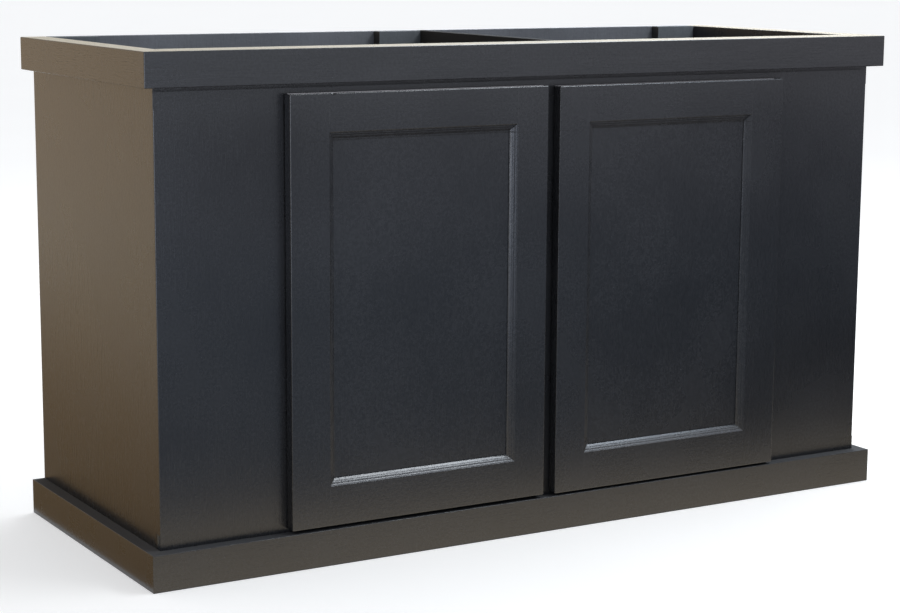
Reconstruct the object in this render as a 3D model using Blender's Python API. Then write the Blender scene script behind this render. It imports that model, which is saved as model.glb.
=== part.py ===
"""Aquarium stand cabinet: an open-topped plywood stand with two overlay frame-and-panel doors.

The stand faces -Y and rests on z = 0. Its origin is the middle of its footprint on the floor.
"""
import math

import bmesh
import bpy
from mathutils import Matrix, Vector

MM = 0.001
GAP = 0.0003

# Overall size and board stock
TOTAL_WIDTH = 1.2573
TOTAL_DEPTH = 0.47625
TOTAL_HEIGHT = 0.7255
BOARD = 0.01905
BACK_THICKNESS = 0.00635
TRIM_HEIGHT = 0.048
BASE_HEIGHT = 0.0523

# Planes of the carcass
BODY_HALF = TOTAL_WIDTH / 2 - BOARD
INNER_HALF = BODY_HALF - BOARD
FRONT_Y = -TOTAL_DEPTH / 2
BACK_Y = TOTAL_DEPTH / 2
FACE_Y = FRONT_Y + BOARD
FRAME_BACK_Y = FACE_Y + BOARD
BACK_INNER_Y = BACK_Y - BACK_THICKNESS

# Doors: outer edges, widths and lower edges
DOOR_THICKNESS = 0.0175
DOOR_HEIGHT = 0.6065
LEFT_DOOR = {"edge": -0.4199, "side": 1, "width": 0.4148, "bottom": 0.0576}
RIGHT_DOOR = {"edge": 0.4265, "side": -1, "width": 0.4115, "bottom": 0.0562}
HINGE_STILE_FLAT = 0.0592
LATCH_STILE_FLAT = 0.0516
TOP_RAIL_FLAT = 0.0525
BOTTOM_RAIL_FLAT = 0.057
STICKING_WIDTH = 0.0102
STICKING_DEPTH = 0.0084
GROOVE_DEPTH = 0.009
PANEL_THICKNESS = 0.006
PANEL_LAP = 0.008

# Door openings in the face frame
OVERLAY = 0.016
OPENING_BOTTOM = LEFT_DOOR["bottom"] + OVERLAY
OPENING_TOP = LEFT_DOOR["bottom"] + DOOR_HEIGHT - OVERLAY
OPENING_LEFT = LEFT_DOOR["edge"] + OVERLAY
OPENING_RIGHT = RIGHT_DOOR["edge"] - OVERLAY
CENTER_STILE = (-0.033, 0.0432)

# Inner framing
POST_WIDTH = 0.0762
BRACE_HEIGHT = 0.0889
TOP_CLEAT_HEIGHT = 0.0635
FLOOR_CLEAT_HEIGHT = 0.0381

# Hinges. u runs along the door from its hinge edge, v back from its front plane, h up.
HINGE_FROM_END = 0.09
PIVOT = (2.5 * MM, 11.5 * MM)
LINK_PIVOT = (18.0 * MM, 14.0 * MM)
LINK_LENGTH = 18.5 * MM
LINK_ANGLE = math.radians(12)
LINK_HALF_HEIGHT = 1.0 * MM
CUP_CENTRE = 22.5 * MM
BORE_RADIUS = 17.5 * MM
BORE_DEPTH = 11.5 * MM
CUP_RADIUS = 17.2 * MM
CUP_WALL = 1.2 * MM
FLANGE_RADIUS = 18.7 * MM
FLANGE_THICKNESS = 0.9 * MM
CUP_SCREW_U = 27.5 * MM
CUP_SCREW_H = 24 * MM
ARM_SCREW_V = 30 * MM

BUMPER_RADIUS = 4 * MM
BUMPER_THICKNESS = 0.95 * MM
BUMPER_INSET = 0.014


def clear_scene():
    for obj in list(bpy.data.objects):
        bpy.data.objects.remove(obj)


def make_material(name, colour, roughness, metallic=0.0):
    """One Principled material for one sub-part."""
    mat = bpy.data.materials.new(name)
    mat.use_nodes = True
    shader = mat.node_tree.nodes["Principled BSDF"]
    shader.inputs["Base Color"].default_value = (*colour, 1.0)
    shader.inputs["Roughness"].default_value = roughness
    shader.inputs["Metallic"].default_value = metallic
    return mat


def black_paint(name):
    return make_material(name, (0.025, 0.027, 0.031), 0.42)


def steel(name):
    return make_material(name, (0.62, 0.62, 0.60), 0.3, 1.0)


def add_object(name, bm, origin, mat, parent=None):
    """Turn a bmesh made in world space into an object at origin, hung from an empty if one is given."""
    bmesh.ops.translate(bm, verts=bm.verts, vec=-Vector(origin))
    bmesh.ops.recalc_face_normals(bm, faces=bm.faces)
    mesh = bpy.data.meshes.new(name)
    bm.to_mesh(mesh)
    bm.free()
    if mat:
        mesh.materials.append(mat)
    obj = bpy.data.objects.new(name, mesh)
    bpy.context.scene.collection.objects.link(obj)
    obj.location = origin
    if parent:
        obj.parent = parent
        obj.location = Vector(origin) - parent.location
    return obj


def add_empty(name, location):
    empty = bpy.data.objects.new(name, None)
    empty.location = location
    empty.empty_display_size = 0.03
    bpy.context.scene.collection.objects.link(empty)
    return empty


def add_prism(bm, outline, depth):
    """Sweep a closed outline of points along the vector depth."""
    near = [bm.verts.new(point) for point in outline]
    far = [bm.verts.new(Vector(point) + Vector(depth)) for point in outline]
    bm.faces.new(near)
    bm.faces.new(list(reversed(far)))
    for i, vert in enumerate(near):
        j = (i + 1) % len(near)
        bm.faces.new((vert, far[i], far[j], near[j]))


def add_cylinder(bm, start, end, radius, segments):
    """Solid cylinder between two points."""
    axis = Vector(end) - Vector(start)
    turn = axis.to_track_quat("Z", "Y").to_matrix().to_4x4()
    middle = (Vector(start) + Vector(end)) / 2
    bmesh.ops.create_cone(bm, cap_ends=True, segments=segments, radius1=radius, radius2=radius,
                          depth=axis.length, matrix=Matrix.Translation(middle) @ turn)


def box(name, low, high, mat, parent=None):
    """Square-edged board between two corners."""
    bm = bmesh.new()
    outline = [(low[0], low[1], low[2]), (high[0], low[1], low[2]),
               (high[0], high[1], low[2]), (low[0], high[1], low[2])]
    add_prism(bm, outline, (0, 0, high[2] - low[2]))
    centre = [(a + b) / 2 for a, b in zip(low, high)]
    return add_object(name, bm, centre, mat, parent)


def cutter(name, bm, parent=None):
    """Hidden tool for a Boolean modifier."""
    obj = add_object(name, bm, (0, 0, 0), None, parent)
    obj.hide_render = True
    obj.display_type = "WIRE"
    return obj


def boolean(obj, tool, operation):
    mod = obj.modifiers.new(tool.name, "BOOLEAN")
    mod.operation = operation
    mod.object = tool


def shade_round(obj):
    obj.data.shade_smooth()
    obj.data.set_sharp_from_angle(angle=math.radians(35))


def make_carcass():
    """Side panels, back, floor, posts, brace and cleats."""
    paint = black_paint("carcass_paint")
    frame_y = FRAME_BACK_Y + GAP
    back_y = BACK_INNER_Y - GAP
    inner = INNER_HALF - GAP
    for name, side in (("left", -1), ("right", 1)):
        xs = sorted((side * BODY_HALF, side * INNER_HALF))
        box(f"side_panel_{name}", (xs[0], frame_y, 0), (xs[1], BACK_Y, TOTAL_HEIGHT), paint)
    box("back_panel", (-inner, BACK_INNER_Y, 0), (inner, BACK_Y, TOTAL_HEIGHT), paint)

    floor_bottom = OPENING_BOTTOM - BOARD
    box("floor_panel", (-inner, frame_y, floor_bottom), (inner, back_y, OPENING_BOTTOM), paint)
    cleat_low = floor_bottom - GAP - FLOOR_CLEAT_HEIGHT
    cleat_high = floor_bottom - GAP
    box("floor_cleat_front", (-inner, frame_y, cleat_low), (inner, frame_y + BOARD, cleat_high), paint)
    box("floor_cleat_back", (-inner, back_y - BOARD, cleat_low), (inner, back_y, cleat_high), paint)

    post_left = {"left": -inner, "center": -POST_WIDTH / 2, "right": inner - POST_WIDTH}
    for name, x in post_left.items():
        low = (x, back_y - BOARD, OPENING_BOTTOM + GAP)
        box(f"back_post_{name}", low, (x + POST_WIDTH, back_y, TOTAL_HEIGHT), paint)

    cleat_back = frame_y + BOARD
    low = (-inner, frame_y, TOTAL_HEIGHT - TOP_CLEAT_HEIGHT)
    box("top_cleat_front", low, (inner, cleat_back, TOTAL_HEIGHT), paint)
    brace_x = POST_WIDTH / 2 + GAP
    low = (brace_x, cleat_back + GAP, TOTAL_HEIGHT - BRACE_HEIGHT)
    box("center_brace", low, (brace_x + BOARD, back_y, TOTAL_HEIGHT), paint)


def make_face_frame():
    """Two wide stiles, a centre stile and two rails behind the doors."""
    paint = black_paint("face_frame_paint")
    stiles = {"left": (-BODY_HALF, OPENING_LEFT), "right": (OPENING_RIGHT, BODY_HALF)}
    for name, (x0, x1) in stiles.items():
        box(f"face_stile_{name}", (x0, FACE_Y, 0), (x1, FRAME_BACK_Y, TOTAL_HEIGHT), paint)
    rails = {"bottom": (0, OPENING_BOTTOM), "top": (OPENING_TOP, TOTAL_HEIGHT)}
    for name, (z0, z1) in rails.items():
        low = (OPENING_LEFT + GAP, FACE_Y, z0)
        box(f"face_rail_{name}", low, (OPENING_RIGHT - GAP, FRAME_BACK_Y, z1), paint)
    low = (CENTER_STILE[0], FACE_Y, OPENING_BOTTOM + GAP)
    box("face_stile_center", low, (CENTER_STILE[1], FRAME_BACK_Y, OPENING_TOP - GAP), paint)


def make_band(name, z0, z1, paint):
    """Boards mitred around the front and both sides, open at the back."""
    outer_x = TOTAL_WIDTH / 2
    inner_x = BODY_HALF + GAP
    inner_y = FACE_Y - GAP
    depth = (0, 0, z1 - z0)
    bm = bmesh.new()
    front = [(-outer_x, FRONT_Y, z0), (outer_x, FRONT_Y, z0), (inner_x, inner_y, z0), (-inner_x, inner_y, z0)]
    add_prism(bm, front, depth)
    add_object(f"{name}_front", bm, (0, FRONT_Y, z0), paint)
    mitre_gap = 0.0005
    for label, side in (("left", -1), ("right", 1)):
        bm = bmesh.new()
        outline = [(side * outer_x, FRONT_Y + mitre_gap, z0), (side * inner_x, inner_y + mitre_gap, z0),
                   (side * inner_x, BACK_Y, z0), (side * outer_x, BACK_Y, z0)]
        add_prism(bm, outline, depth)
        add_object(f"{name}_{label}", bm, (side * inner_x, 0, z0), paint)


def sticking_profile(flat):
    """Section of a door member: s across from its outer edge, v back from its front face.

    The list starts at the front arris, runs down two fillets and an ovolo to the panel, around
    the panel's groove and out to the back face.
    """
    lip = STICKING_DEPTH
    points = [(0, 0), (0.3 * MM, 1.1 * MM), (1.7 * MM, 1.5 * MM)]
    for step in range(5):
        angle = math.radians(15 + 15 * step)
        s = 1.7 * MM + 4.6 * MM * math.sin(angle)
        v = 6.3 * MM - 4.6 * MM * math.cos(angle)
        points.append((s, v))
    points += [(6.6 * MM, 6.2 * MM), (8.2 * MM, 6.7 * MM), (STICKING_WIDTH, lip - 0.6 * MM)]
    groove_back = lip + PANEL_THICKNESS + 2 * GAP
    points += [(STICKING_WIDTH, lip), (STICKING_WIDTH - GROOVE_DEPTH, lip),
               (STICKING_WIDTH - GROOVE_DEPTH, groove_back), (STICKING_WIDTH, groove_back),
               (STICKING_WIDTH, DOOR_THICKNESS), (0, DOOR_THICKNESS)]
    return [(flat + s, v) for s, v in points]


def door_member(name, flat, length, notches, to_world, mat, parent):
    """One stile or rail of a door.

    Its flat part is full length. Its sticking starts a notch in from each end, past the
    neighbour's flat part, and is mitred there.
    """
    strip = sticking_profile(flat)
    outer = [(0, 0), (0, DOOR_THICKNESS)]
    bm = bmesh.new()

    def vert(s, v, t):
        return bm.verts.new(to_world(s, v, t))

    ends = []
    for t_end, notch, sign in ((0, notches[0], 1), (length, notches[1], -1)):
        corner = [vert(s, v, t_end) for s, v in outer]
        ring = [vert(s, v, t_end + sign * (notch + s - flat)) for s, v in strip]
        shoulder = [ring[0], ring[-1]]
        if notch:
            shoulder = [vert(flat, 0, t_end), vert(flat, DOOR_THICKNESS, t_end)]
            bm.faces.new((shoulder[0], ring[0], ring[-1], shoulder[1]))
        bm.faces.new((corner[0], shoulder[0], shoulder[1], corner[1]))
        bm.faces.new(ring)
        ends.append((corner, ring, shoulder))
    (corner_a, ring_a, shoulder_a), (corner_b, ring_b, shoulder_b) = ends
    for a, b in zip(range(len(ring_a) - 1), range(1, len(ring_a))):
        bm.faces.new((ring_a[a], ring_a[b], ring_b[b], ring_b[a]))
    for k, end in ((0, 0), (1, -1)):
        loop = [corner_a[k], shoulder_a[k], ring_a[end], ring_b[end], shoulder_b[k], corner_b[k]]
        bm.faces.new(list(dict.fromkeys(loop)))
    bm.faces.new((corner_a[0], corner_a[1], corner_b[1], corner_b[0]))
    return add_object(name, bm, to_world(0, 0, 0), mat, parent)


def hinge_point(door, centre_z, u, v, h):
    """World place of a point given in a hinge's own directions."""
    return Vector((door["edge"] + door["side"] * u, FRONT_Y + v, centre_z + h))


def hinge_heights(door):
    return {"lower": door["bottom"] + HINGE_FROM_END, "upper": door["bottom"] + DOOR_HEIGHT - HINGE_FROM_END}


def bore_hinge_stile(label, door, stile, parent):
    """Cup bores and screw pilot holes in the back of the hinge stile."""
    bm = bmesh.new()
    behind = DOOR_THICKNESS + 5 * MM
    for z in hinge_heights(door).values():
        start = hinge_point(door, z, CUP_CENTRE, DOOR_THICKNESS - BORE_DEPTH, 0)
        add_cylinder(bm, start, hinge_point(door, z, CUP_CENTRE, behind, 0), BORE_RADIUS, 40)
        for h in (-CUP_SCREW_H, CUP_SCREW_H):
            start = hinge_point(door, z, CUP_SCREW_U, 8.5 * MM, h)
            add_cylinder(bm, start, hinge_point(door, z, CUP_SCREW_U, behind, h), 1.8 * MM, 12)
    boolean(stile, cutter(f"cut_{label}_bores", bm, parent), "DIFFERENCE")


def make_door(label, door, pivot):
    """Frame-and-panel door: two stiles, two rails and a flat panel in their grooves."""
    paint = black_paint(f"{label}_door_paint")
    edge, side, width, bottom = door["edge"], door["side"], door["width"], door["bottom"]
    far = edge + side * width
    top = bottom + DOOR_HEIGHT
    notches = (BOTTOM_RAIL_FLAT + GAP, TOP_RAIL_FLAT + GAP)
    stile = door_member(f"{label}_door_hinge_stile", HINGE_STILE_FLAT, DOOR_HEIGHT, notches,
                        lambda s, v, t: Vector((edge + side * s, FRONT_Y + v, bottom + t)), paint, pivot)
    bore_hinge_stile(label, door, stile, pivot)
    door_member(f"{label}_door_latch_stile", LATCH_STILE_FLAT, DOOR_HEIGHT, notches,
                lambda s, v, t: Vector((far - side * s, FRONT_Y + v, bottom + t)), paint, pivot)
    rail_start = edge + side * (HINGE_STILE_FLAT + GAP)
    rail_length = width - HINGE_STILE_FLAT - LATCH_STILE_FLAT - 2 * GAP
    door_member(f"{label}_door_bottom_rail", BOTTOM_RAIL_FLAT, rail_length, (0, 0),
                lambda s, v, t: Vector((rail_start + side * t, FRONT_Y + v, bottom + s)), paint, pivot)
    door_member(f"{label}_door_top_rail", TOP_RAIL_FLAT, rail_length, (0, 0),
                lambda s, v, t: Vector((rail_start + side * t, FRONT_Y + v, top - s)), paint, pivot)

    lap = STICKING_WIDTH - PANEL_LAP
    xs = sorted((edge + side * (HINGE_STILE_FLAT + lap), far - side * (LATCH_STILE_FLAT + lap)))
    panel_y = FRONT_Y + STICKING_DEPTH + GAP
    low = (xs[0], panel_y, bottom + BOTTOM_RAIL_FLAT + lap)
    high = (xs[1], panel_y + PANEL_THICKNESS, top - TOP_RAIL_FLAT - lap)
    box(f"{label}_door_panel", low, high, paint, pivot)

    rubber = make_material(f"{label}_bumper_rubber", (0.55, 0.55, 0.53), 0.6)
    for name, z in (("lower", bottom + BUMPER_INSET), ("upper", top - BUMPER_INSET)):
        start = Vector((far - side * BUMPER_INSET, FRONT_Y + DOOR_THICKNESS + GAP, z))
        bm = bmesh.new()
        add_cylinder(bm, start, start + Vector((0, BUMPER_THICKNESS, 0)), BUMPER_RADIUS, 16)
        shade_round(add_object(f"{label}_door_bumper_{name}", bm, start, rubber, pivot))


def make_cup(name, door, z, pivot):
    """Pressed hinge cup with its screw flange, let into the back of the door."""
    def place(u, v, h):
        return hinge_point(door, z, u, v, h)

    plate_v = DOOR_THICKNESS + GAP
    plate_end = plate_v + FLANGE_THICKNESS
    cup_bottom = DOOR_THICKNESS - BORE_DEPTH + GAP
    bm = bmesh.new()
    add_cylinder(bm, place(CUP_CENTRE, plate_v, 0), place(CUP_CENTRE, plate_end, 0), FLANGE_RADIUS, 40)
    cup = add_object(name, bm, place(CUP_CENTRE, DOOR_THICKNESS, 0), steel(f"{name}_steel"), pivot)

    bm = bmesh.new()
    half_width = 5.5 * MM
    outline = []
    for centre_h, start in ((CUP_SCREW_H + 1 * MM, 0), (-CUP_SCREW_H - 1 * MM, 180)):
        for step in range(9):
            angle = math.radians(start + 22.5 * step)
            outline.append(place(CUP_SCREW_U + half_width * math.cos(angle), plate_v,
                                 centre_h + half_width * math.sin(angle)))
    add_prism(bm, outline, (0, FLANGE_THICKNESS, 0))
    boolean(cup, cutter(f"add_{name}_wings", bm, pivot), "UNION")

    bm = bmesh.new()
    add_cylinder(bm, place(CUP_CENTRE, cup_bottom, 0), place(CUP_CENTRE, plate_v + 0.4 * MM, 0), CUP_RADIUS, 40)
    boolean(cup, cutter(f"add_{name}_bowl", bm, pivot), "UNION")

    bm = bmesh.new()
    behind = plate_end + 3 * MM
    add_cylinder(bm, place(CUP_CENTRE, cup_bottom + CUP_WALL, 0), place(CUP_CENTRE, behind, 0),
                 CUP_RADIUS - CUP_WALL, 40)
    for h in (-CUP_SCREW_H, CUP_SCREW_H):
        add_cylinder(bm, place(CUP_SCREW_U, plate_v - 1 * MM, h), place(CUP_SCREW_U, behind, h), 1.9 * MM, 12)
    boolean(cup, cutter(f"cut_{name}_hollow", bm, pivot), "DIFFERENCE")
    shade_round(cup)


def make_screw(name, head_start, direction, shank_length, parent=None):
    """Pan-head screw, modelled from the underside of its head."""
    head_start = Vector(head_start)
    direction = Vector(direction)
    side = direction.orthogonal().normalized()
    profile = [(0, -shank_length), (0.6 * MM, -shank_length), (1.5 * MM, -shank_length + 2 * MM),
               (1.5 * MM, 0), (3.6 * MM, 0), (3.4 * MM, 1.0 * MM), (2.2 * MM, 1.7 * MM), (0, 1.9 * MM)]
    bm = bmesh.new()
    verts = [bm.verts.new(head_start + side * r + direction * a) for r, a in profile]
    edges = [bm.edges.new(pair) for pair in zip(verts, verts[1:])]
    bmesh.ops.spin(bm, geom=verts + edges, cent=head_start, axis=direction, angle=math.tau, steps=14)
    bmesh.ops.remove_doubles(bm, verts=bm.verts, dist=0.00002)
    shade_round(add_object(name, bm, head_start, steel(f"{name}_steel"), parent))


def make_arm(name, door, z):
    """Hinge arm screwed to the edge of the face frame, with a lug that reaches into the cup."""
    def place(u, v, h):
        return hinge_point(door, z, u, v, h)

    def slab(u0, u1, v0, v1, half):
        bm = bmesh.new()
        outline = [place(u0, v0, -half), place(u1, v0, -half), place(u1, v1, -half), place(u0, v1, -half)]
        add_prism(bm, outline, (0, 0, 2 * half))
        return bm

    edge_u = OVERLAY + GAP
    plate_u = edge_u + 2.2 * MM
    frame_v = BOARD + 1 * MM
    bm = slab(edge_u, plate_u, frame_v, 2 * BOARD - 1 * MM, 11 * MM)
    arm = add_object(name, bm, place(edge_u, frame_v, 0), steel(f"{name}_steel"))
    pivot_u, pivot_v = LINK_PIVOT
    lug = cutter(f"add_{name}_lug", slab(edge_u, edge_u + 3.2 * MM, pivot_v, frame_v + 4 * MM, 2.6 * MM))
    boolean(arm, lug, "UNION")
    bm = bmesh.new()
    add_cylinder(bm, place(pivot_u, pivot_v, -2.6 * MM), place(pivot_u, pivot_v, 2.6 * MM), 1.9 * MM, 20)
    boolean(arm, cutter(f"add_{name}_eye", bm), "UNION")
    bm = bmesh.new()
    add_cylinder(bm, place(pivot_u, pivot_v, -5 * MM), place(pivot_u, pivot_v, 5 * MM), 1.0 * MM, 16)
    add_cylinder(bm, place(edge_u - 2 * MM, ARM_SCREW_V, 7 * MM), place(plate_u + 2 * MM, ARM_SCREW_V, 7 * MM),
                 1.9 * MM, 12)
    boolean(arm, cutter(f"cut_{name}_holes", bm), "DIFFERENCE")
    shade_round(arm)
    screw_place = place(plate_u + GAP, ARM_SCREW_V, 7 * MM)
    make_screw(f"{name}_screw", screw_place, (door["side"], 0, 0), 13 * MM)


def bore_face_stiles():
    """Pilot holes for the arm screws in the edges of the two outer face stiles."""
    for label, door in (("left", LEFT_DOOR), ("right", RIGHT_DOOR)):
        bm = bmesh.new()
        for z in hinge_heights(door).values():
            start = hinge_point(door, z, OVERLAY - 13 * MM, ARM_SCREW_V, 7 * MM)
            end = hinge_point(door, z, OVERLAY + 3 * MM, ARM_SCREW_V, 7 * MM)
            add_cylinder(bm, start, end, 1.8 * MM, 12)
        boolean(bpy.data.objects[f"face_stile_{label}"], cutter(f"cut_{label}_pilot_holes", bm), "DIFFERENCE")


def make_link(name, door, z, pivot):
    """Fork-shaped hinge link: two cheeks either side of the arm's lug, a web and the rivet."""
    along = Vector((door["side"] * math.cos(LINK_ANGLE), -math.sin(LINK_ANGLE), 0))
    across = Vector((door["side"] * math.sin(LINK_ANGLE), math.cos(LINK_ANGLE), 0))
    start = hinge_point(door, z, *LINK_PIVOT, 0)
    half = LINK_HALF_HEIGHT

    bm = bmesh.new()
    outline = []
    for centre, first in ((LINK_LENGTH, -90), (0, 90)):
        for step in range(7):
            angle = math.radians(first + 30 * step)
            outline.append(start + along * (centre + half * math.cos(angle)) + across * half * math.sin(angle))
    cheek = [point + Vector((0, 0, 3.0 * MM)) for point in outline]
    add_prism(bm, cheek, (0, 0, 1.2 * MM))
    link = add_object(name, bm, start, steel(f"{name}_steel"), pivot)

    bm = bmesh.new()
    add_prism(bm, [point - Vector((0, 0, 4.2 * MM)) for point in outline], (0, 0, 1.2 * MM))
    boolean(link, cutter(f"add_{name}_cheek", bm, pivot), "UNION")
    bm = bmesh.new()
    web = [start + along * a + across * b - Vector((0, 0, 3.6 * MM))
           for a, b in ((5 * MM, -0.6 * MM), (17 * MM, -0.6 * MM), (17 * MM, 0.6 * MM), (5 * MM, 0.6 * MM))]
    add_prism(bm, web, (0, 0, 7.2 * MM))
    boolean(link, cutter(f"add_{name}_web", bm, pivot), "UNION")
    bm = bmesh.new()
    reach = Vector((0, 0, 3.6 * MM))
    add_cylinder(bm, start - reach, start + reach, 0.7 * MM, 14)
    boolean(link, cutter(f"add_{name}_rivet", bm, pivot), "UNION")
    shade_round(link)


def make_hinges(label, door, door_pivot, link_pivot):
    for place, z in hinge_heights(door).items():
        make_cup(f"{label}_hinge_cup_{place}", door, z, door_pivot)
        for name, h in (("a", -CUP_SCREW_H), ("b", CUP_SCREW_H)):
            head = hinge_point(door, z, CUP_SCREW_U, DOOR_THICKNESS + FLANGE_THICKNESS + 2 * GAP, h)
            make_screw(f"{label}_cup_screw_{place}_{name}", head, (0, 1, 0), 9.5 * MM, door_pivot)
        make_arm(f"{label}_hinge_arm_{place}", door, z)
        make_link(f"{label}_hinge_link_{place}", door, z, link_pivot)


def main():
    clear_scene()
    make_carcass()
    make_face_frame()
    make_band("top_trim", TOTAL_HEIGHT - TRIM_HEIGHT, TOTAL_HEIGHT, black_paint("top_trim_paint"))
    make_band("base_board", 0, BASE_HEIGHT, black_paint("base_board_paint"))
    for label, door in (("left", LEFT_DOOR), ("right", RIGHT_DOOR)):
        middle = door["bottom"] + DOOR_HEIGHT / 2
        door_pivot = add_empty(f"{label}_door_pivot", hinge_point(door, middle, *PIVOT, 0))
        link_pivot = add_empty(f"{label}_link_pivot", hinge_point(door, middle, *LINK_PIVOT, 0))
        bpy.context.view_layer.update()
        make_door(label, door, door_pivot)
        make_hinges(label, door, door_pivot, link_pivot)
    bore_face_stiles()


main()
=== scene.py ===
"""Looks of the aquarium stand cabinet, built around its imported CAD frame."""
import math

import bmesh
import bpy
from mathutils import Matrix, Vector


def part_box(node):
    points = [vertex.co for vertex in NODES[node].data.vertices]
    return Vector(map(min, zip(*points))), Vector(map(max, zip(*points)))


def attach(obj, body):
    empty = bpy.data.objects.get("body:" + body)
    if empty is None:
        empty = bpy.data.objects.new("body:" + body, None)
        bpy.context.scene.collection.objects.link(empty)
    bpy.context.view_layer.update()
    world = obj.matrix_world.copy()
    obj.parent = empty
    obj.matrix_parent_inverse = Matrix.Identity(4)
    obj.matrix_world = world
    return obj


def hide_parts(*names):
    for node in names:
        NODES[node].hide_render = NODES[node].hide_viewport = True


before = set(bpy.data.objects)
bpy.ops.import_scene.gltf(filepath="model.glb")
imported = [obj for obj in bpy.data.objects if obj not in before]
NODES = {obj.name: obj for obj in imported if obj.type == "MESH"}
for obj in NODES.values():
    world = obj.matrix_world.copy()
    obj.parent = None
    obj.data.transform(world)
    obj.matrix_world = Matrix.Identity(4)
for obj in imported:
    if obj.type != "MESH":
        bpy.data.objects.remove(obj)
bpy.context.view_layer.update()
MM = 0.001
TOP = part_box("side_panel_left")[1].z
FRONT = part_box("top_trim_front")[0].y

BOARD_ARRIS, RAIL_ARRIS, BASE_ARRIS = 0.0012, 0.0009, 0.0006
DOOR_ARRIS, PANEL_ARRIS = 1.5 * MM, 0.0004
HINGE_ARRIS, LINK_ARRIS = 0.0002, 0.00012
SHARP_ANGLE = math.radians(50)
SEAM = 0.00028


# ---------------------------------------------------------------- materials

class Tree:
    """Small helper to write a material's nodes."""

    def __init__(self, name):
        self.mat = bpy.data.materials.new(name)
        self.mat.use_nodes = True
        self.nodes = self.mat.node_tree.nodes
        self.links = self.mat.node_tree.links
        self.shader = self.nodes["Principled BSDF"]
        self.coord = self.nodes.new("ShaderNodeTexCoord").outputs["Object"]

    def put(self, socket, value):
        if isinstance(value, bpy.types.NodeSocket):
            self.links.new(value, socket)
        else:
            socket.default_value = value

    def node(self, kind, inputs=None, output=0, **settings):
        made = self.nodes.new(f"ShaderNode{kind}")
        for key, value in settings.items():
            setattr(made, key, value)
        for key, value in (inputs or {}).items():
            self.put(made.inputs[key], value)
        return made.outputs[output]

    def math(self, operation, a, b=0.0):
        return self.node("Math", {0: a, 1: b}, operation=operation)

    def scaled(self, scale):
        return self.node("Mapping", {"Vector": self.coord, "Scale": scale})

    def noise(self, scale, detail=2.0, rough=0.5, stretch=(1, 1, 1), distortion=0.0):
        inputs = {"Vector": self.scaled([scale * s for s in stretch]), "Scale": 1.0, "Detail": detail,
                  "Roughness": rough, "Distortion": distortion}
        return self.node("TexNoise", inputs)

    def ramp(self, value, low, high, out_low=0.0, out_high=1.0):
        inputs = {"Value": value, "From Min": low, "From Max": high, "To Min": out_low, "To Max": out_high}
        return self.node("MapRange", inputs, clamp=True)

    def mix(self, factor, a, b):
        made = self.nodes.new("ShaderNodeMix")
        made.data_type = "RGBA"
        self.put(made.inputs[0], factor)
        self.put(made.inputs[6], (*a, 1) if isinstance(a, tuple) else a)
        self.put(made.inputs[7], (*b, 1) if isinstance(b, tuple) else b)
        return made.outputs[2]

    def lerp(self, factor, a, b):
        made = self.nodes.new("ShaderNodeMix")
        self.put(made.inputs[0], factor)
        self.put(made.inputs[2], a)
        self.put(made.inputs[3], b)
        return made.outputs[0]

    def bump(self, height, distance, normal=None):
        inputs = {"Height": height, "Distance": distance}
        if normal is not None:
            inputs["Normal"] = normal
        return self.node("Bump", inputs)

    def place(self, axis):
        """Coordinate of the shaded point along one axis."""
        return self.node("SeparateXYZ", {"Vector": self.coord}, axis)

    def facing(self, axis):
        """How far the surface faces along one axis, from -1 to 1."""
        return self.node("SeparateXYZ", {"Vector": self.node("NewGeometry", output=1)}, axis)

    def edge_mask(self, radius):
        """1 on arrises, 0 on flats, from the angle between the true and the rounded normal."""
        rounded = self.node("Bevel", {"Radius": radius}, samples=4)
        true = self.node("NewGeometry", output=1)
        dot = self.node("VectorMath", {0: rounded, 1: true}, output=1, operation="DOT_PRODUCT")
        return self.ramp(dot, 0.995, 0.93)

    def finish(self, **inputs):
        for key, value in inputs.items():
            self.put(self.shader.inputs[key.replace("_", " ")], value)
        return self.mat


ALONG = {"x": (0.035, 1, 1), "y": (1, 0.035, 1), "z": (1, 1, 0.035)}
BROAD = {"x": (0.10, 1, 1), "y": (1, 0.10, 1), "z": (1, 1, 0.10)}
ACROSS = {"x": 1, "y": 0, "z": 0}
RUBBED_PAINT = (0.066, 0.065, 0.064)
# Plain near-black for the faces kept out of the painted light; on the posts' sides it is painted shade.
UNLIT_BLACK = (0.004, 0.0045, 0.005)
PALE_PLY, DARK_PLY, PLY_FIBRE, PLY_STAIN = ((0.55, 0.505, 0.395), (0.38, 0.330, 0.235), (0.27, 0.20, 0.12),
                                            (0.66, 0.62, 0.53))
PLY_PITCH = 0.0036


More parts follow.
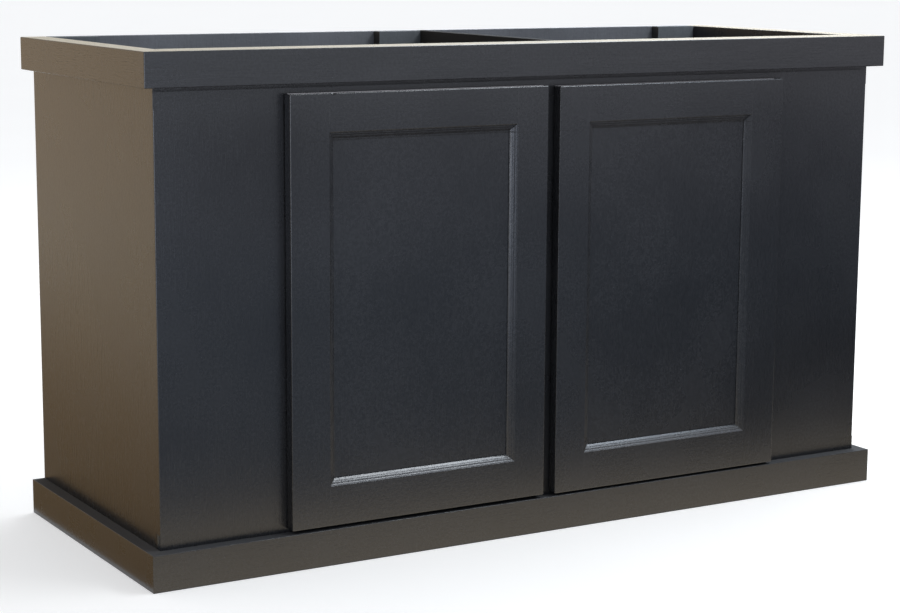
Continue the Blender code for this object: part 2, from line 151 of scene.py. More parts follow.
def black_paint(name, grain, colour=(0.0150, 0.0156, 0.0180), roughness=0.27, raw_top=False, coarse=1.0,
                grain_show=0.14, speckle=0.5, dusty=False, unlit_faces=None, specular=0.5):
    """Satin black paint over wood: open grain along one axis, orange peel, faint cloudiness, rubbed arrises.

    With raw_top the sawn upper edges of the board are bare, with the layers of the plywood showing. With
    dusty the upward faces are dull. A colour set far lighter than black paint is painted light. The faces
    picked out by axis fall back to plain near-black, which on the sides of the posts is painted shade:
    axis 0 means the faces to both sides, and another axis means the face towards its positive end.
    """
    t = Tree(name)
    pores = t.noise(900, 3, 0.65, ALONG[grain])
    figure = t.noise(75, 3, 0.55, BROAD[grain], 0.6)
    peel = t.noise(210, 3, 0.6)
    fleck = t.noise(260, 2, 0.6)
    streak = t.noise(360, 3, 0.6, [max(s, 0.05) for s in ALONG[grain]])
    cloud = t.noise(5.5, 3, 0.5)
    pore_mask = t.ramp(pores, 0.56, 0.72)
    tone = t.math("ADD", t.math("MULTIPLY", cloud, 1 - grain_show), t.math("MULTIPLY", figure, grain_show))
    dark = tuple(c * 0.82 for c in colour)
    light = tuple(c * 1.20 for c in colour)
    base = t.mix(t.ramp(tone, 0.36, 0.64), dark, light)
    base = t.mix(t.ramp(fleck, 0.38, 0.62, speckle, 0.0), base, tuple(c * 0.2 for c in colour))
    base = t.mix(t.math("MULTIPLY", pore_mask, 0.55), base, tuple(c * 0.45 for c in colour))
    arris = t.math("MULTIPLY", t.edge_mask(0.0011), t.ramp(t.noise(46, 4, 0.65), 0.40, 0.66))
    base = t.mix(t.math("MULTIPLY", arris, 0.45), base, RUBBED_PAINT)
    gloss = t.ramp(cloud, 0.32, 0.68, roughness - 0.015, roughness + 0.02)
    gloss = t.math("ADD", gloss, t.math("MULTIPLY", pore_mask, 0.10))
    if dusty:
        gloss = t.lerp(t.math("GREATER_THAN", t.facing(2), 0.95), gloss, 0.9)
    # The picked faces lose the painted light and go near-black: painted shade on the posts' sides.
    if unlit_faces is not None:
        turned = t.facing(unlit_faces)
        if unlit_faces == 0:
            turned = t.math("ABSOLUTE", turned)
        base = t.mix(t.math("MULTIPLY", t.math("GREATER_THAN", turned, 0.7), 0.9), base, UNLIT_BLACK)
    height = t.math("ADD", t.math("MULTIPLY", peel, 1 - grain_show), t.math("MULTIPLY", streak, grain_show))
    height = t.math("SUBTRACT", height, t.math("MULTIPLY", pore_mask, 0.2))
    normal = t.bump(height, 0.0002 * coarse)
    if raw_top:
        ragged = t.ramp(t.noise(130, 4, 0.7), 0.3, 0.7, TOP - 0.0011, TOP - 0.00012)
        bare = t.math("MULTIPLY", t.math("GREATER_THAN", t.facing(2), 0.86),
                      t.math("GREATER_THAN", t.place(2), ragged))
        turns = t.math("MULTIPLY", t.place(ACROSS[grain]), 2 * math.pi / PLY_PITCH)
        layer = t.math("SINE", t.math("ADD", turns, t.math("MULTIPLY", t.noise(60, 2, 0.5), 1.4)))
        fibres = t.noise(1300, 3, 0.7, (ALONG[grain][0], ALONG[grain][1], 1))
        wood = t.mix(t.ramp(layer, -0.9, 0.9), DARK_PLY, PALE_PLY)
        wood = t.mix(t.ramp(fibres, 0.35, 0.75, 0.0, 0.55), wood, PLY_FIBRE)
        wood = t.mix(t.ramp(t.noise(22, 4, 0.6), 0.60, 0.78, 0, 0.5), wood, PLY_STAIN)
        base = t.mix(bare, base, wood)
        gloss = t.lerp(bare, gloss, 0.72)
        normal = t.bump(t.math("MULTIPLY", fibres, bare), 0.0003, normal=normal)
    return t.finish(Base_Color=base, Roughness=gloss, Normal=normal, IOR=1.5, Specular_IOR_Level=specular)


def plated_steel(name, colour=(0.60, 0.59, 0.57), roughness=0.24):
    """Nickel-plated pressed steel: fine rolling lines, handling marks, dull spots."""
    t = Tree(name)
    lines = t.noise(1500, 3, 0.6, (1, 0.06, 0.06))
    marks = t.noise(160, 4, 0.65)
    base = t.mix(t.ramp(marks, 0.35, 0.75), colour, tuple(c * 0.70 for c in colour))
    gloss = t.math("ADD", t.ramp(marks, 0.3, 0.7, roughness - 0.05, roughness + 0.12),
                   t.math("MULTIPLY", lines, 0.06))
    normal = t.bump(t.math("ADD", lines, t.math("MULTIPLY", marks, 0.5)), 0.00002)
    return t.finish(Base_Color=base, Roughness=gloss, Normal=normal, Metallic=1.0)


def soft_rubber(name):
    """Grey translucent door bumper, a little dusty."""
    t = Tree(name)
    dust = t.noise(700, 3, 0.6)
    base = t.mix(t.ramp(dust, 0.35, 0.7), (0.42, 0.42, 0.40), (0.58, 0.57, 0.54))
    return t.finish(Base_Color=base, Roughness=t.ramp(dust, 0.3, 0.7, 0.42, 0.62),
                    Normal=t.bump(dust, 0.00005), Subsurface_Weight=0.25,
                    Subsurface_Radius=(0.002, 0.002, 0.002))


PAINT = {
    "trim_x": black_paint("trim_paint_along_x", "x", raw_top=True, grain_show=0.6, coarse=1.4),
    "trim_y": black_paint("trim_paint_along_y", "y", raw_top=True),
    "side": black_paint("side_paint", "z", raw_top=True),
    "edge_x": black_paint("rail_paint", "x", raw_top=True),
    "board_x": black_paint("board_paint_along_x", "x", dusty=True),
    "board_y": black_paint("board_paint_along_y", "y", dusty=True),
    "board_z": black_paint("board_paint_along_z", "z"),
    # The inside of the back panel is painted light: a grey far lighter than black paint stands for light
    # falling on it. Its outer face keeps plain near-black.
    "back": black_paint("back_paint", "z", (0.125, 0.136, 0.160), 0.50, coarse=1.4, speckle=0.10,
                        unlit_faces=1),
    "inner_y": black_paint("inner_paint_along_y", "y", (0.022, 0.022, 0.022), 0.85, speckle=0.2,
                           specular=0.1),
    "inner_x": black_paint("inner_paint_along_x", "x", (0.014, 0.015, 0.017), 0.45),
    # The posts' fronts are painted light with a grey far lighter than black paint, and their sides are
    # painted shade in near-black.
    "inner_z": black_paint("inner_paint_along_z", "z", (0.090, 0.106, 0.122), 0.55, speckle=0.15,
                           unlit_faces=0),
    "door_x": black_paint("door_paint_along_x", "x", roughness=0.26),
    "door_z": black_paint("door_paint_along_z", "z", roughness=0.26),
}
STEEL = plated_steel("hinge_steel_finish")
SCREW_STEEL = plated_steel("screw_steel_finish", (0.66, 0.64, 0.60), 0.20)
RUBBER = soft_rubber("bumper_rubber_finish")

# Nodes that keep their CAD shape. The other boards and the door members get new shapes below.
NODE_PAINT = {
    "back_panel": "back", "floor_panel": "inner_x", "floor_cleat_front": "inner_x",
    "floor_cleat_back": "inner_x", "back_post_left": "inner_z", "back_post_center": "inner_z",
    "back_post_right": "inner_z", "top_cleat_front": "edge_x", "center_brace": "inner_y",
    "face_stile_center": "board_z", "left_door_panel": "door_z", "right_door_panel": "door_z",
}


def paint(obj, mat):
    if not obj.data.materials:
        obj.data.materials.append(mat)
    for slot in obj.material_slots:
        slot.link = "OBJECT"
        slot.material = mat


def weigh_normals(obj):
    """Keep flats flat beside their rounded arrises."""
    normals = obj.modifiers.new("normals", "WEIGHTED_NORMAL")
    normals.keep_sharp = True
    normals.weight = 100


def ease(obj, width, segments=3):
    """Round a CAD node's arrises, with modifiers only."""
    weld = obj.modifiers.new("weld", "WELD")
    weld.merge_threshold = 0.00001
    bevel = obj.modifiers.new("ease", "BEVEL")
    bevel.limit_method = "ANGLE"
    bevel.angle_limit = SHARP_ANGLE
    bevel.width = width
    bevel.segments = segments
    weigh_normals(obj)


def mesh_object(name, bm):
    """An object in the scene that holds a bmesh, which is freed."""
    mesh = bpy.data.meshes.new(name)
    bm.to_mesh(mesh)
    bm.free()
    obj = bpy.data.objects.new(name, mesh)
    bpy.context.scene.collection.objects.link(obj)
    return obj


def cut(obj, tool_bm):
    """Boolean difference with a bmesh tool, applied."""
    bmesh.ops.recalc_face_normals(tool_bm, faces=tool_bm.faces)
    tool = mesh_object("tool", tool_bm)
    mesh = tool.data
    mod = obj.modifiers.new("cut", "BOOLEAN")
    mod.operation = "DIFFERENCE"
    mod.solver = "EXACT"
    mod.object = tool
    bpy.context.view_layer.update()
    graph = bpy.context.evaluated_depsgraph_get()
    done = bpy.data.meshes.new_from_object(obj.evaluated_get(graph))
    obj.modifiers.clear()
    obj.data = done
    bpy.data.objects.remove(tool)
    bpy.data.meshes.remove(mesh)


def new_piece(name, bm, mat, body, node, crease=32, tool=None):
    """A finished piece, less what a tool cuts away, that stands for a CAD node and rides on its body."""
    bmesh.ops.recalc_face_normals(bm, faces=bm.faces)
    obj = mesh_object(name, bm)
    if tool is not None:
        cut(obj, tool)
    obj.data.shade_smooth()
    obj.data.set_sharp_from_angle(angle=math.radians(crease))
    obj.data.materials.clear()
    obj.data.materials.append(mat)
    weigh_normals(obj)
    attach(obj, body)
    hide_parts(node)


def prism(bm, outline, low, high):
    """A closed block over an outline of (x, y) points."""
    lower = [bm.verts.new((x, y, low)) for x, y in outline]
    upper = [bm.verts.new((x, y, high)) for x, y in outline]
    bm.faces.new(lower)
    bm.faces.new(list(reversed(upper)))
    for i, vert in enumerate(lower):
        j = (i + 1) % len(lower)
        bm.faces.new((vert, upper[i], upper[j], lower[j]))
    bmesh.ops.recalc_face_normals(bm, faces=bm.faces)


def inside(point, skip):
    """Whether a point lies in a board other than the one skipped, or within a seam of it."""
    reach = 0.0006
    return any(all(lo - reach < p < hi + reach for p, lo, hi in zip(point, low, high))
               for name, (low, high) in BOARD_BOXES.items() if name != skip)


def ease_open_edges(bm, node, width):
    """Round the arrises that stand open, and leave those that meet a neighbour flush."""
    probe = 2 * MM
    open_edges = []
    for edge in bm.edges:
        if len(edge.link_faces) != 2 or edge.calc_face_angle() < SHARP_ANGLE:
            continue
        middle = (edge.verts[0].co + edge.verts[1].co) / 2
        first, second = (face.normal for face in edge.link_faces)
        aside = probe * (first - second)
        if not (inside(middle + aside, node) or inside(middle - aside, node)):
            open_edges.append(edge)
    bmesh.ops.bevel(bm, geom=open_edges, offset=width, segments=3, profile=0.5, affect="EDGES")


def board(node, mat, grow=((0, 0, 0), (0, 0, 0)), width=BOARD_ARRIS, splits=()):
    """A board of the carcass with its own eased arrises and its joints closed with paint."""
    low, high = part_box(node)
    low, high = low - Vector(grow[0]), high + Vector(grow[1])
    bm = bmesh.new()
    prism(bm, [(low.x, low.y), (high.x, low.y), (high.x, high.y), (low.x, high.y)], low.z, high.z)
    for height in splits:
        geom = bm.verts[:] + bm.edges[:] + bm.faces[:]
        bmesh.ops.bisect_plane(bm, geom=geom, plane_co=(0, 0, height), plane_no=(0, 0, 1))
    ease_open_edges(bm, node, width)
    new_piece(f"{node}_finish", bm, mat, "carcass", node)


def band(name, mats, width):
    """Three boards round the front and sides, cut from one eased U so that their mitres close."""
    low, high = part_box(f"{name}_front")
    side_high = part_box(f"{name}_left")[1]
    inner_x, inner_y, back = -side_high.x, high.y, side_high.y
    outline = [(low.x, low.y), (high.x, low.y), (high.x, back), (inner_x, back), (inner_x, inner_y),
               (-inner_x, inner_y), (-inner_x, back), (low.x, back)]
    for part, keep in (("front", 0), ("left", -1), ("right", 1)):
        bm = bmesh.new()
        prism(bm, outline, low.z, high.z)
        ease_open_edges(bm, f"{name}_{part}", width)
        for side in (-1, 1):
            corner = Vector((side * high.x, low.y, 0))
            mitre = Vector((side * (inner_y - low.y), high.x - inner_x, 0)).normalized()
            if keep == 0:
                cut_half(bm, corner, mitre)
            elif keep == side:
                cut_half(bm, corner, -mitre)
        new_piece(f"{name}_{part}_finish", bm, mats[0] if keep == 0 else mats[1], "carcass",
                  f"{name}_{part}")


def cut_half(bm, place, normal):
    """Cut a closed mesh by a plane, drop the side that the normal points to and close the cut."""
    geom = bm.verts[:] + bm.edges[:] + bm.faces[:]
    cut_geom = bmesh.ops.bisect_plane(bm, geom=geom, plane_co=place, plane_no=normal, clear_outer=True)
    rims = [e for e in cut_geom["geom_cut"] if isinstance(e, bmesh.types.BMEdge)]
    if rims:
        bmesh.ops.edgeloop_fill(bm, edges=rims)


BOARD_BOXES = {name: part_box(name) for name in NODES if not name.startswith(("left_", "right_"))}

for name, obj in NODES.items():
    if name in NODE_PAINT:
        paint(obj, PAINT[NODE_PAINT[name]])
        ease(obj, PANEL_ARRIS if name.endswith("door_panel") else BOARD_ARRIS)
    elif "screw" in name:
        paint(obj, SCREW_STEEL)
    elif "hinge_cup" in name or "hinge_arm" in name or "hinge_link" in name:
        paint(obj, STEEL)
        ease(obj, LINK_ARRIS if "link" in name else HINGE_ARRIS, 2)
    elif "bumper" in name:
        paint(obj, RUBBER)

DOORWAY_HEIGHTS = (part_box("face_rail_bottom")[1].z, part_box("face_rail_top")[0].z)
BOTH_ENDS = ((SEAM, 0, 0), (SEAM, 0, 0))
for side in ("left", "right"):
    board(f"side_panel_{side}", PAINT["side"], grow=((0, SEAM, 0), (0, 0, 0)))
    board(f"face_stile_{side}", PAINT["side"], splits=DOORWAY_HEIGHTS)
for node, look in (("face_rail_top", "edge_x"), ("face_rail_bottom", "board_x")):
    board(node, PAINT[look], grow=BOTH_ENDS, width=RAIL_ARRIS)
band("top_trim", (PAINT["trim_x"], PAINT["trim_y"]), BOARD_ARRIS)
band("base_board", (PAINT["board_x"], PAINT["board_y"]), BASE_ARRIS)


# ---------------------------------------------------------------- doors

STICKING_WIDTH = 10.2 * MM
GROOVE_FRONT, GROOVE_BACK, GROOVE_BED = 8.4 * MM, 15.0 * MM, 1.2 * MM
CUP_INSET, CUP_RADIUS, CUP_BORE_START = 22.5 * MM, 17.5 * MM, 6 * MM
SCREW_INSET, SCREW_RISE, SCREW_RADIUS, SCREW_BORE_START = 27.5 * MM, 24 * MM, 1.8 * MM, 8.5 * MM
BORE_END = 22 * MM
DENT_ALONG, DENT_RADIUS, DENT_OFFSET = 6.4 * MM, 8.6 * MM, 6.4 * MM


def sticking():
    """Inner edge of a door member: s past the flat, v back from the front, in mm.

    Three slightly rounded slopes with a fine land between them, as one cutter leaves them.
    """
    points = [(0, 0), (0.12, 0.03), (0.22, 0.10)]
    for (s0, v0), (s1, v1), bulge in (((0.3, 0.2), (2.9, 2.35), 0.09), ((3.55, 2.38), (6.0, 4.45), 0.09),
                                      ((6.6, 4.48), (9.6, 7.65), 0.12)):
        for step in range(5):
            f = step / 4
            lift = 4 * bulge * f * (1 - f)
            points.append((s0 + (s1 - s0) * f + lift * 0.7, v0 + (v1 - v0) * f - lift * 0.7))
    points += [(9.9, 7.72), (10.2, 7.75)]
    return points


def door_member(node, flat, length, notches, to_world, mat, body, tool=None):
    """A stile or rail with its sticking mitred at both ends and its outer arrises eased."""
    cad_low, cad_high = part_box(node)
    thick = cad_high.y - cad_low.y
    edge, bed = flat + STICKING_WIDTH, flat + GROOVE_BED
    strip = [(flat + s * MM, v * MM) for s, v in sticking()]
    strip += [(edge, GROOVE_FRONT), (bed, GROOVE_FRONT), (bed, GROOVE_BACK), (edge, GROOVE_BACK),
              (edge, thick), (flat, thick)]
    bm = bmesh.new()

    def vert(s, v, t):
        return bm.verts.new(to_world(s, v, t))

    ends = []
    for t_end, notch, sign in ((0, notches[0], 1), (length, notches[1], -1)):
        corner = [vert(0, 0, t_end), vert(0, thick, t_end)]
        ring = [vert(s, v, t_end + sign * (notch + max(s - flat, 0))) for s, v in strip]
        shoulder = [ring[0], ring[-1]]
        if notch:
            shoulder = [vert(flat, 0, t_end), vert(flat, thick, t_end)]
            bm.faces.new((shoulder[0], ring[0], ring[-1], shoulder[1]))
        bm.faces.new((corner[0], shoulder[0], shoulder[1], corner[1]))
        bm.faces.new(ring)
        ends.append((corner, ring, shoulder))
    (corner_a, ring_a, shoulder_a), (corner_b, ring_b, shoulder_b) = ends
    for a in range(len(ring_a) - 1):
        bm.faces.new((ring_a[a], ring_a[a + 1], ring_b[a + 1], ring_b[a]))
    for k, end in ((0, 0), (1, -1)):
        loop = [corner_a[k], shoulder_a[k], ring_a[end], ring_b[end], shoulder_b[k], corner_b[k]]
        bm.faces.new(list(dict.fromkeys(loop)))
    bm.faces.new((corner_a[0], corner_a[1], corner_b[1], corner_b[0]))
    bmesh.ops.recalc_face_normals(bm, faces=bm.faces)
    soft = [bm.edges.get((corner_a[k], corner_b[k])) for k in (0, 1)]
    if notches[0]:
        for corner, shoulder in ((corner_a, shoulder_a), (corner_b, shoulder_b)):
            soft += [bm.edges.get((corner[0], corner[1])), bm.edges.get((corner[0], shoulder[0])),
                     bm.edges.get((corner[1], shoulder[1]))]
    bmesh.ops.bevel(bm, geom=soft, offset=DOOR_ARRIS, segments=5, profile=0.5, affect="EDGES")
    new_piece(f"{node}_finish", bm, mat, body, node, 20, tool)


def add_cylinder(bm, start, end, radius, segments):
    axis = Vector(end) - Vector(start)
    turn = axis.to_track_quat("Z", "Y").to_matrix().to_4x4()
    middle = (Vector(start) + Vector(end)) / 2
    bmesh.ops.create_cone(bm, cap_ends=True, segments=segments, radius1=radius, radius2=radius,
                          depth=axis.length, matrix=Matrix.Translation(middle) @ turn)


def hinge_bores(label, edge, side):
    """The cup bores and pilot holes in the back of a hinge stile, round the cups that the frame holds."""
    bm = bmesh.new()
    cup_x, screw_x = edge + side * CUP_INSET, edge + side * SCREW_INSET
    for level in ("lower", "upper"):
        low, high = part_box(f"{label}_hinge_cup_{level}")
        z = (low.z + high.z) / 2
        add_cylinder(bm, (cup_x, FRONT + CUP_BORE_START, z), (cup_x, FRONT + BORE_END, z), CUP_RADIUS, 64)
        for screw_z in (z - SCREW_RISE, z + SCREW_RISE):
            add_cylinder(bm, (screw_x, FRONT + SCREW_BORE_START, screw_z),
                         (screw_x, FRONT + BORE_END, screw_z), SCREW_RADIUS, 20)
    return bm


def dent_tool(place):
    """A ball, mostly off the board, that leaves a shallow dent in a door's upper front arris."""
    bm = bmesh.new()
    centre = Vector(place) + Vector((0, -1, 1)).normalized() * DENT_OFFSET
    bmesh.ops.create_icosphere(bm, subdivisions=4, radius=DENT_RADIUS, matrix=Matrix.Translation(centre))
    return bm


def flat_width(node, axis):
    """Width of a door member up to its sticking."""
    low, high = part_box(node)
    return high[axis] - low[axis] - STICKING_WIDTH


def build_door(label, side):
    """Two stiles and two rails. side is 1 for a door hinged on its left edge and -1 on its right."""
    body = f"{label}_door"
    hinge_stile, latch_stile = f"{body}_hinge_stile", f"{body}_latch_stile"
    bottom_rail, top_rail = f"{body}_bottom_rail", f"{body}_top_rail"
    stile_low, stile_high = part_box(hinge_stile)
    far_low, far_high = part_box(latch_stile)
    edge = stile_low.x if side > 0 else stile_high.x
    far = far_high.x if side > 0 else far_low.x
    bottom, top = stile_low.z, stile_high.z
    hinge_flat, latch_flat = flat_width(hinge_stile, 0), flat_width(latch_stile, 0)
    bottom_flat, top_flat = flat_width(bottom_rail, 2), flat_width(top_rail, 2)
    notches = (bottom_flat, top_flat)
    door_member(hinge_stile, hinge_flat, top - bottom, notches,
                lambda s, v, t: Vector((edge + side * s, FRONT + v, bottom + t)),
                PAINT["door_z"], body, hinge_bores(label, edge, side))
    door_member(latch_stile, latch_flat, top - bottom, notches,
                lambda s, v, t: Vector((far - side * s, FRONT + v, bottom + t)),
                PAINT["door_z"], body)
    start = edge + side * hinge_flat
    length = abs(far - edge) - hinge_flat - latch_flat
    door_member(bottom_rail, bottom_flat, length, (0, 0),
                lambda s, v, t: Vector((start + side * t, FRONT + v, bottom + s)),
                PAINT["door_x"], body)
    dent = dent_tool((start + DENT_ALONG, FRONT, top)) if label == "left" else None
    door_member(top_rail, top_flat, length, (0, 0),
                lambda s, v, t: Vector((start + side * t, FRONT + v, top - s)),
                PAINT["door_x"], body, dent)


build_door("left", 1)
build_door("right", -1)


# ---------------------------------------------------------------- stage, light and camera

def stage_plane(name, corners, mat):
    mesh = bpy.data.meshes.new(name)
    mesh.from_pydata(corners, [], [(0, 1, 2, 3)])
    mesh.materials.append(mat)
    obj = bpy.data.objects.new(name, mesh)
    bpy.context.scene.collection.objects.link(obj)
    return obj


def floor_material():
    t = Tree("pale_floor")
    tone = t.noise(1.4, 3, 0.5)
    return t.finish(Base_Color=t.mix(tone, (0.80, 0.80, 0.80), (0.84, 0.84, 0.84)),
                    Roughness=0.85, Specular_IOR_Level=0.2, Emission_Color=(1, 1, 1, 1),
                    Emission_Strength=0.34)


def light_ramp(nodes, links, value, stops, peak):
    """Colour ramp along a coordinate, through (place, colour) stops."""
    span = nodes.new("ShaderNodeMapRange")
    ramp = nodes.new("ShaderNodeValToRGB")
    first, reach = stops[0][0], stops[-1][0] - stops[0][0]
    links.new(value, span.inputs["Value"])
    span.inputs["From Min"].default_value = first
    span.inputs["From Max"].default_value = stops[-1][0]
    links.new(span.outputs[0], ramp.inputs[0])
    elements = ramp.color_ramp.elements
    while len(elements) < len(stops):
        elements.new(0.5)
    for element, (place, colour) in zip(elements, stops):
        element.position = (place - first) / reach
        element.color = (*[c / peak for c in colour], 1)
    return ramp.outputs[0]


def sheet(low, high, facing):
    """Corners of a flat sheet from low to high, wound so that it faces up (1) or down (-1) its thin axis."""
    thin = [low[k] == high[k] for k in range(3)].index(True)
    first, second = (thin + 1) % 3, (thin + 2) % 3
    if facing < 0:
        first, second = second, first
    corners = []
    for first_end, second_end in ((low, low), (high, low), (high, high), (low, high)):
        corner = list(low)
        corner[first], corner[second] = first_end[first], second_end[second]
        corners.append(tuple(corner))
    return corners


def card(name, low, high, facing, axis, stops, far_stops=None, across=None):
    """A studio card seen only in the gloss of the paint, lit on the side that it faces.

    Its light runs along one axis through the stops. It turns into far_stops over across, which gives
    another axis and the range along it.
    """
    mat = bpy.data.materials.new(name)
    mat.use_nodes = True
    nodes, links = mat.node_tree.nodes, mat.node_tree.links
    nodes.clear()
    out = nodes.new("ShaderNodeOutputMaterial")
    glow = nodes.new("ShaderNodeEmission")
    split = nodes.new("ShaderNodeSeparateXYZ")
    links.new(nodes.new("ShaderNodeTexCoord").outputs["Object"], split.inputs[0])
    peak = max(max(colour) for _, colour in stops + (far_stops or []))
    colour = light_ramp(nodes, links, split.outputs[axis], stops, peak)
    if far_stops:
        turn = nodes.new("ShaderNodeMapRange")
        links.new(split.outputs[across[0]], turn.inputs["Value"])
        turn.inputs["From Min"].default_value = across[1]
        turn.inputs["From Max"].default_value = across[2]
        mix = nodes.new("ShaderNodeMix")
        mix.data_type = "RGBA"
        links.new(turn.outputs[0], mix.inputs[0])
        links.new(colour, mix.inputs[6])
        links.new(light_ramp(nodes, links, split.outputs[axis], far_stops, peak), mix.inputs[7])
        colour = mix.outputs[2]
    links.new(colour, glow.inputs[0])
    glow.inputs[1].default_value = peak
    clear = nodes.new("ShaderNodeBsdfTransparent")
    pick = nodes.new("ShaderNodeMixShader")
    links.new(nodes.new("ShaderNodeNewGeometry").outputs["Backfacing"], pick.inputs[0])
    links.new(glow.outputs[0], pick.inputs[1])
    links.new(clear.outputs[0], pick.inputs[2])
    links.new(pick.outputs[0], out.inputs[0])
    obj = stage_plane(name, sheet(low, high, facing), mat)
    obj.visible_camera = False
    obj.visible_diffuse = False
    obj.visible_transmission = False
    obj.visible_shadow = False


def ceiling_light(name, place, size, power, colour):
    data = bpy.data.lights.new(name, "AREA")
    data.shape = "RECTANGLE"
    data.size, data.size_y = size
    data.energy = power
    data.color = colour
    obj = bpy.data.objects.new(name, data)
    bpy.context.scene.collection.objects.link(obj)
    obj.location = place


def even_grey(level, low, high):
    """Stops of one cool grey from low to high."""
    return [(low, (level, level, 1.1 * level)), (high, (level, level, 1.1 * level))]


FLOOR_REACH, FLOOR_Z = 40.0, -0.0002
stage_plane("floor", sheet((-FLOOR_REACH, -FLOOR_REACH, FLOOR_Z), (FLOOR_REACH, FLOOR_REACH, FLOOR_Z), 1),
            floor_material())

# Each card's stops are (coordinate, colour).
CARD_Y, NEAR_CARD_Y = -0.66, -0.655
CARD_FOOT, FLOOR_CARD_Z = 0.004, 0.001
FRONT_LEFT = [(0.0, (0.34, 0.40, 0.50)), (0.12, (0.34, 0.41, 0.52)), (0.30, (0.38, 0.46, 0.59)),
              (0.50, (0.60, 0.66, 0.80)), (0.585, (0.62, 0.66, 0.76)), (0.64, (0.98, 1.04, 1.17)),
              (1.2, (1.0, 1.06, 1.19))]
FRONT_RIGHT = [(0.0, (0.05, 0.05, 0.06)), (0.12, (0.04, 0.06, 0.10)), (0.30, (0.08, 0.12, 0.18)),
               (0.50, (0.38, 0.40, 0.48)), (0.585, (0.42, 0.44, 0.52)), (0.64, (0.9, 0.9, 1.0)),
               (1.2, (0.9, 0.9, 1.0))]
FLOOR_LEFT = [(-0.66, (0.36, 0.40, 0.46)), (-0.59, (0.42, 0.42, 0.45)), (-0.52, (0.90, 0.82, 0.72)),
              (-0.45, (1.42, 1.25, 1.01)), (-0.238, (1.62, 1.42, 1.13))]
FLOOR_RIGHT = [(-0.66, (0.02, 0.03, 0.04)), (-0.58, (0.05, 0.05, 0.05)), (-0.51, (0.22, 0.20, 0.18)),
               (-0.43, (0.95, 0.83, 0.65)), (-0.238, (1.46, 1.26, 0.99))]
card("front_card", (-1.2, CARD_Y, CARD_FOOT), (2.6, CARD_Y, 1.2), 1, 2, FRONT_LEFT, FRONT_RIGHT,
     (0, -0.2, 0.95))
card("front_floor_card", (-1.3, CARD_Y, FLOOR_CARD_Z), (2.6, -0.2385, FLOOR_CARD_Z), 1, 1, FLOOR_LEFT,
     FLOOR_RIGHT, (0, -0.1, 0.9))
# The two shade cards are dim sheets that put painted shade into the paint's reflections: a dark band on the
# door panels below the top sticking, and one on the face just under the trim.
card("shade_card", (-0.42, -0.2405, 0.5985), (0.43, -0.2292, 0.5985), 1, 1,
     [(-0.2405, (0.19, 0.185, 0.19)), (-0.2292, (0.14, 0.135, 0.14))])
card("trim_shade_card", (-0.61, -0.2505, 0.6715), (0.61, -0.2192, 0.6715), 1, 1,
     [(-0.2505, (0.10, 0.09, 0.10)), (-0.2192, (0.07, 0.065, 0.075))])
card("left_card", (-1.15, -0.5, CARD_FOOT), (-1.15, 4.5, 1.6), 1, 2,
     [(0.0, (0.80, 0.62, 0.42)), (0.25, (0.97, 0.77, 0.53)), (0.5, (1.00, 0.76, 0.51)),
      (1.6, (1.00, 0.76, 0.51))])
card("left_floor_card", (-1.15, -0.24, FLOOR_CARD_Z), (-0.635, 2.6, FLOOR_CARD_Z), 1, 0,
     [(-1.15, (0.64, 0.46, 0.28)), (-0.62, (0.34, 0.22, 0.10))])

# Two narrow cards along the top of each door light the line that its upper edge draws.
for label, glint, bounce in (("left", 0.60, 0.40), ("right", 0.42, 0.32)):
    rail_low, rail_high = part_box(f"{label}_door_top_rail")
    x0, x1, z0 = rail_low.x - 0.055, rail_high.x + 0.055, rail_high.z + 0.0002
    y0, y1, z1 = FRONT + 0.0009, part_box("face_rail_top")[0].y - 0.0003, z0 + 0.0034
    card(f"{label}_door_top_glint", (x0, y1, z0), (x1, y1, z1), -1, 2, even_grey(glint, z0, z1))
    card(f"{label}_door_top_bounce", (x0, y0, z0), (x1, y1, z0), 1, 1, even_grey(bounce, y0, y1))

card("left_stile_card", (-0.37, NEAR_CARD_Y, 0.42), (-0.185, NEAR_CARD_Y, 0.588), 1, 2,
     [(0.42, (0.52, 0.57, 0.69)), (0.50, (0.46, 0.50, 0.60)), (0.588, (0.26, 0.28, 0.35))])
card("right_stile_card", (0.68, NEAR_CARD_Y, 0.35), (0.92, NEAR_CARD_Y, 0.588), 1, 2,
     [(0.35, (0.22, 0.26, 0.34)), (0.42, (0.27, 0.30, 0.38)), (0.50, (0.24, 0.26, 0.33)),
      (0.588, (0.10, 0.11, 0.15))])
card("window_card", (-1.12, NEAR_CARD_Y, 0.0), (-0.80, NEAR_CARD_Y, 0.9), 1, 2,
     [(0.0, (0.34, 0.40, 0.50)), (0.08, (0.6, 0.7, 0.9)), (0.24, (2.6, 2.9, 3.4)), (0.5, (6.0, 6.4, 7.2)),
      (0.9, (6.0, 6.4, 7.2))])
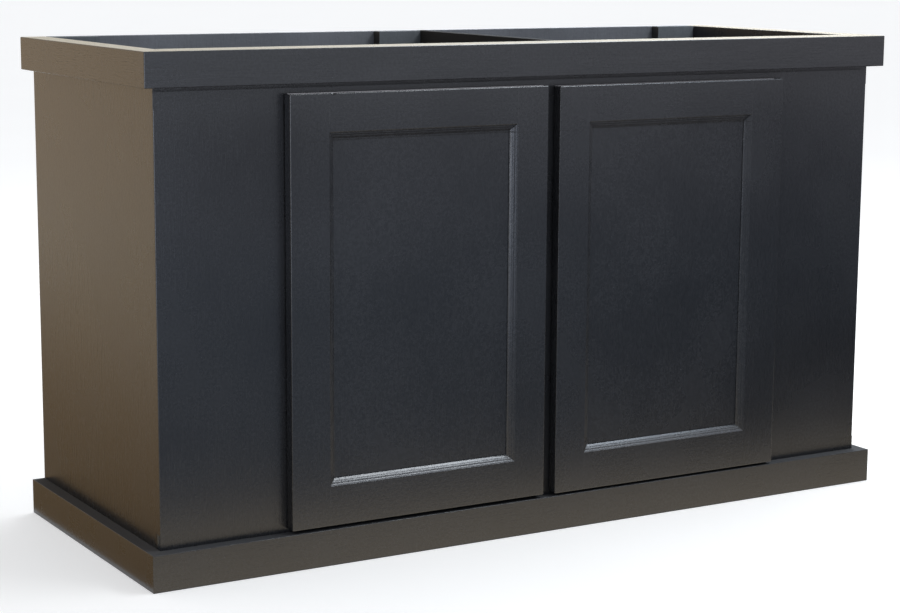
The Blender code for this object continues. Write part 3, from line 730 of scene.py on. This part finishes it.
card("window_side_card", (-0.80, NEAR_CARD_Y, 0.0), (-0.58, NEAR_CARD_Y, 0.9), 1, 2,
     [(0.0, (0.34, 0.40, 0.50)), (0.08, (0.42, 0.50, 0.66)), (0.24, (1.1, 1.3, 1.7)), (0.5, (2.3, 2.6, 3.3)),
      (0.9, (2.3, 2.6, 3.3))])
card("right_card", (1.7, CARD_Y, 0.0), (1.7, 4.5, 1.6), -1, 2,
     [(0.0, (0.22, 0.22, 0.24)), (1.6, (0.30, 0.31, 0.34))])
card("ceiling_card", (0.8, -2.6, 2.45), (2.0, 2.2, 2.45), -1, 0,
     [(0.8, (17.0, 18.0, 19.0)), (1.3, (17.0, 18.0, 19.0)), (1.55, (6.6, 7.8, 9.4)), (2.0, (3.0, 3.7, 4.6))])
ceiling_light("strip", (1.35, 0.0, 2.5), (0.7, 5.0), 66, (0.95, 0.98, 1.0))

world = bpy.data.worlds.new("studio")
world.use_nodes = True
background = world.node_tree.nodes["Background"]
background.inputs[0].default_value = (0.95, 0.97, 1.0, 1)
background.inputs[1].default_value = 0.75
bpy.context.scene.world = world
bpy.context.scene.view_settings.view_transform = "Standard"

CAMERA_PLACE = Vector((-1.6735, -2.7914, 0.8629))
YAW, PITCH, ROLL = (math.radians(angle) for angle in (30.514, 9.725, 0.342))
LENS, SENSOR_WIDTH = 84.36, 36
forward = Vector((math.sin(YAW) * math.cos(PITCH), math.cos(YAW) * math.cos(PITCH), -math.sin(PITCH)))
level = Vector((math.cos(YAW), -math.sin(YAW), 0))
upright = level.cross(forward)
right = level * math.cos(ROLL) + upright * math.sin(ROLL)
up = upright * math.cos(ROLL) - level * math.sin(ROLL)
camera_data = bpy.data.cameras.new("camera")
camera_data.lens = LENS
camera_data.sensor_width = SENSOR_WIDTH
camera_data.clip_end = 200
camera = bpy.data.objects.new("camera", camera_data)
camera.matrix_world = Matrix.Translation(CAMERA_PLACE) @ Matrix((right, up, -forward)).transposed().to_4x4()
bpy.context.scene.collection.objects.link(camera)
bpy.context.scene.camera = camera
